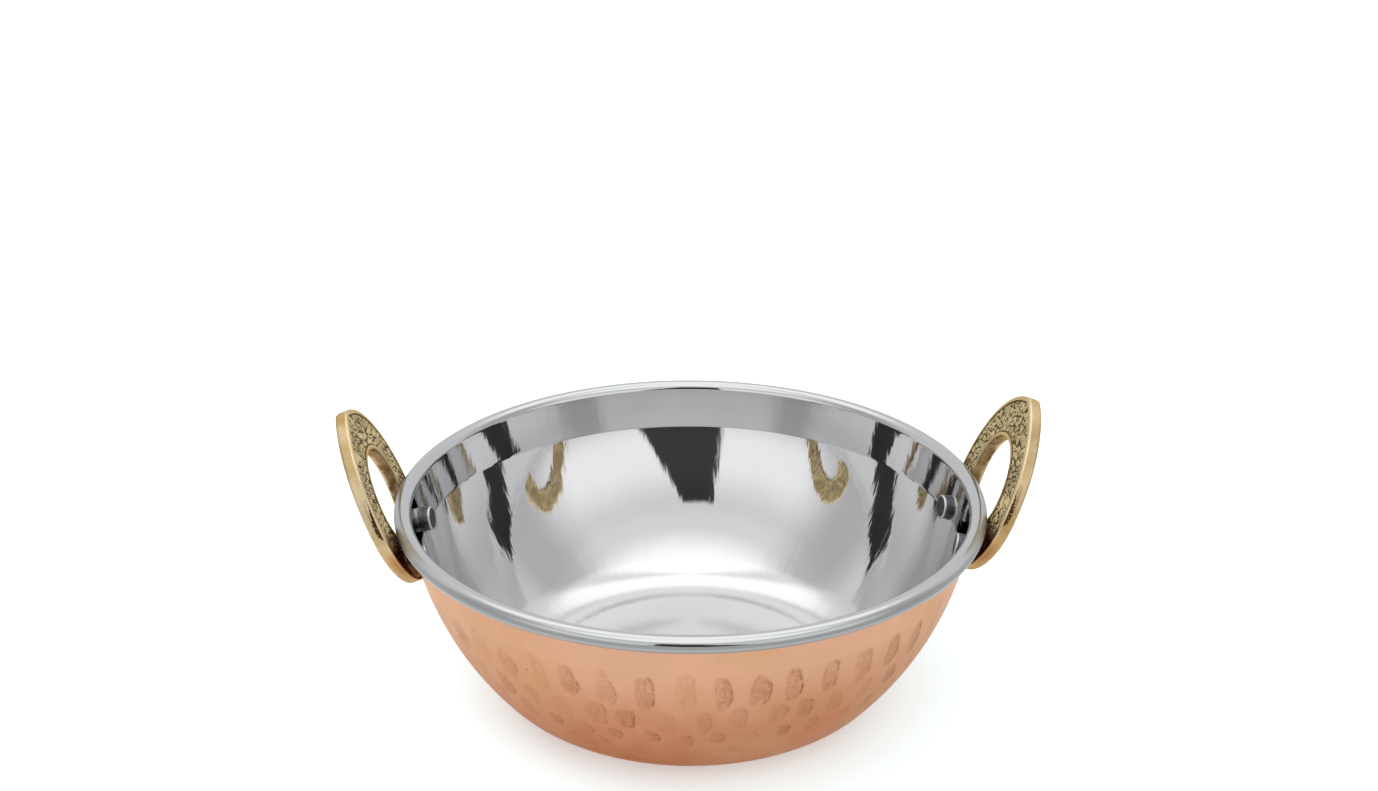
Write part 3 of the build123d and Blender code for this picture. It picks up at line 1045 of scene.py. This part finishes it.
def floor_material():
    """Pale floor that reads white to the camera and keeps the soft shadow."""
    s = Shader("white_floor")
    grain = s.noise(s.object_point(), 30, 3.0)
    x, y, _ = s.split(s.object_point())
    path = s.node("ShaderNodeLightPath").outputs
    near = s.length_span(s.distance(x, y), *FLOOR_MIRROR_RADII, FLOOR_MIRROR_GLOW, 0.0)
    seen = s.product(path["Is Camera Ray"], s.span(grain, 0.3, 0.7, 0.97, 1))
    s.set(
        Base_Color=s.blend(seen, FLOOR_TONE, FLOOR_SEEN_TONE),
        Roughness=0.9,
        Specular_IOR_Level=0.0,
        Emission_Color=WHITE,
        Emission_Strength=s.total(
            s.product(path["Is Camera Ray"], FLOOR_GLOW), s.product(path["Is Glossy Ray"], near)
        ),
    )
    return s.material


def dress(piece, material):
    """Give a piece one material."""
    piece.data.materials.clear()
    piece.data.materials.append(material)


# Pieces

copper = copper_shell()
dress(copper, copper_material())
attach(copper, "root")

steel = steel_bowl()
dress(steel, steel_material())
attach(steel, "root")

for pieces, finish in ((carvings(), carved_material()), (side_grooves(), torn_material())):
    for piece in pieces:
        dress(piece, finish)
        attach(piece, "root")

brass, rivet_steel = brass_material(), rivet_material()
for name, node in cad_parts.items():
    if name.startswith("handle"):
        dress(node, brass)
    elif name.startswith("rivet"):
        dress(node, rivet_steel)


# Stage

FLOOR_REACH = FLOOR_SIZE / MM / 2
floor = mesh_object(
    "floor",
    [
        [x * FLOOR_REACH, y * FLOOR_REACH, -FLOOR_DROP]
        for x, y in ((-1, -1), (1, -1), (1, 1), (-1, 1))
    ],
    [[0, 1, 2, 3]],
)
dress(floor, floor_material())


# The room, by the sine of the height: each ramp's two heights and the light that it adds there
ROOM_RAMPS = ((0.0, 0.25, 0.78, 0.88), (0.56, 0.70, 0.0, 0.09), (0.69, 0.85, 0.0, 0.56))
# The softboxes in front add light from one height to another, and as far round as AHEAD
SOFTBOX_RISE = (0.06, 0.24, 0.0, 0.32)
SOFTBOX_FALL = (0.34, 0.60, 1.0, 0.0)
AHEAD = (math.radians(52), math.radians(82))
# Beside the softboxes the room is darker
BESIDE_DARK = 0.31
BESIDE_END = (math.radians(92), math.radians(114))
# The dark gap between the two front softboxes, low and high: height, azimuth and half width
STUDIO_GAP = ((0.12, 2, 19), (0.58, -7, 8))
GAP_DARK = 0.95
GAP_SOFT = (0.015, 0.02)  # softness of its ends and its sides


def studio_world():
    """White for the camera; for light and reflections a pale room, front softboxes and one gap."""
    world = bpy.data.worlds.new("studio")
    bpy.context.scene.world = world
    world.use_nodes = True
    world.node_tree.nodes.clear()
    w = Nodes(world.node_tree)

    def ramp(value, low, high, to_low, to_high):
        return w.span(value, low, high, to_low, to_high, interpolation_type="SMOOTHSTEP")

    def darkened(light, share):
        return w.product(light, w.math("SUBTRACT", 1.0, share))

    x, y, z = w.split(w.node("ShaderNodeTexCoord").outputs["Generated"])
    azimuth = w.math("ARCTAN2", x, w.product(y, -1.0))  # 0 towards the front
    aside = w.math("ABSOLUTE", azimuth)
    room = w.total(*(ramp(z, *values) for values in ROOM_RAMPS))
    beside = w.product(ramp(aside, *AHEAD, 0.0, BESIDE_DARK), ramp(aside, *BESIDE_END, 1.0, 0.0))
    softboxes = w.product(ramp(z, *SOFTBOX_RISE), ramp(z, *SOFTBOX_FALL))
    lit = w.product(softboxes, ramp(aside, *AHEAD, 1.0, 0.0))
    room = w.total(darkened(room, beside), lit)

    (low, *start), (high, *end) = STUDIO_GAP
    middle, half = (
        w.span(z, low, high, math.radians(at_low), math.radians(at_high))
        for at_low, at_high in zip(start, end)
    )
    past = w.math("SUBTRACT", w.math("ABSOLUTE", w.math("SUBTRACT", azimuth, middle)), half)
    end_soft, side_soft = GAP_SOFT
    gap = w.product(
        ramp(past, -side_soft, side_soft, 1.0, 0.0),
        w.product(
            ramp(z, low - end_soft, low + end_soft, 0, 1),
            ramp(z, high - end_soft, high + end_soft, 1, 0),
        ),
        GAP_DARK,
    )
    room = darkened(room, gap)

    seen = w.node("ShaderNodeLightPath").outputs["Is Camera Ray"]
    strength = w.total(darkened(room, seen), seen)
    background = w.node("ShaderNodeBackground", {"Color": WHITE, "Strength": strength})
    w.node("ShaderNodeOutputWorld", {0: background.outputs[0]})


studio_world()


# One square softbox above, in metres and watts
LIGHT_PLACE = (-0.3, -0.05, 0.8)
LIGHT_AIM = (0, 0, 0.03)
LIGHT_SIZE = 0.5
LIGHT_POWER = 1.6


def add_light():
    """Soft light from above, left out of reflections."""
    light = bpy.data.lights.new("top_softbox", "AREA")
    light.size = LIGHT_SIZE
    light.energy = LIGHT_POWER
    made = bpy.data.objects.new("top_softbox", light)
    bpy.context.scene.collection.objects.link(made)
    made.location = LIGHT_PLACE
    away = Vector(LIGHT_PLACE) - Vector(LIGHT_AIM)
    made.rotation_euler = away.to_track_quat("Z", "Y").to_euler()
    made.visible_glossy = False


add_light()


# Camera at the photograph's viewing angle

IMAGE_WIDTH, IMAGE_HEIGHT = 1378, 791
FOCAL = 2000.0  # in pixels of the photograph
PRINCIPAL = (690.32, 572.0)
SENSOR_WIDTH = 36.0
CLIP = (0.01, 20.0)
RANGE = 6.9265 * RIM_RADIUS * MM
PITCH = 0.4944
ROLL = 0.0034
YAW = math.radians(3.3)
AIM_HEIGHT = (BEAD_HEIGHT - 0.2763 * RIM_RADIUS) * MM


def add_camera():
    """Camera from its pitch, yaw and roll, at a range from a point on the axis."""
    turn = np.array(
        [[math.cos(YAW), math.sin(YAW), 0], [-math.sin(YAW), math.cos(YAW), 0], [0, 0, 1]]
    )
    right = turn @ [1, 0, 0]
    forward = turn @ [0, math.cos(PITCH), -math.sin(PITCH)]
    up = turn @ [0, math.sin(PITCH), math.cos(PITCH)]
    basis = np.eye(4)
    basis[:3, 0] = math.cos(ROLL) * right + math.sin(ROLL) * up
    basis[:3, 1] = math.cos(ROLL) * up - math.sin(ROLL) * right
    basis[:3, 2] = -forward
    basis[:3, 3] = np.array([0, 0, AIM_HEIGHT]) - RANGE * forward
    data = bpy.data.cameras.new("camera")
    data.sensor_fit = "HORIZONTAL"
    data.sensor_width = SENSOR_WIDTH
    data.lens = FOCAL * SENSOR_WIDTH / IMAGE_WIDTH
    data.shift_x = (IMAGE_WIDTH / 2 - PRINCIPAL[0]) / IMAGE_WIDTH
    data.shift_y = (PRINCIPAL[1] - IMAGE_HEIGHT / 2) / IMAGE_WIDTH
    data.clip_start, data.clip_end = CLIP
    camera = bpy.data.objects.new("camera", data)
    bpy.context.scene.collection.objects.link(camera)
    camera.matrix_world = Matrix(basis.tolist())
    bpy.context.scene.camera = camera


add_camera()
bpy.context.scene.view_settings.view_transform = "Standard"

bpy.context.view_layer.update()
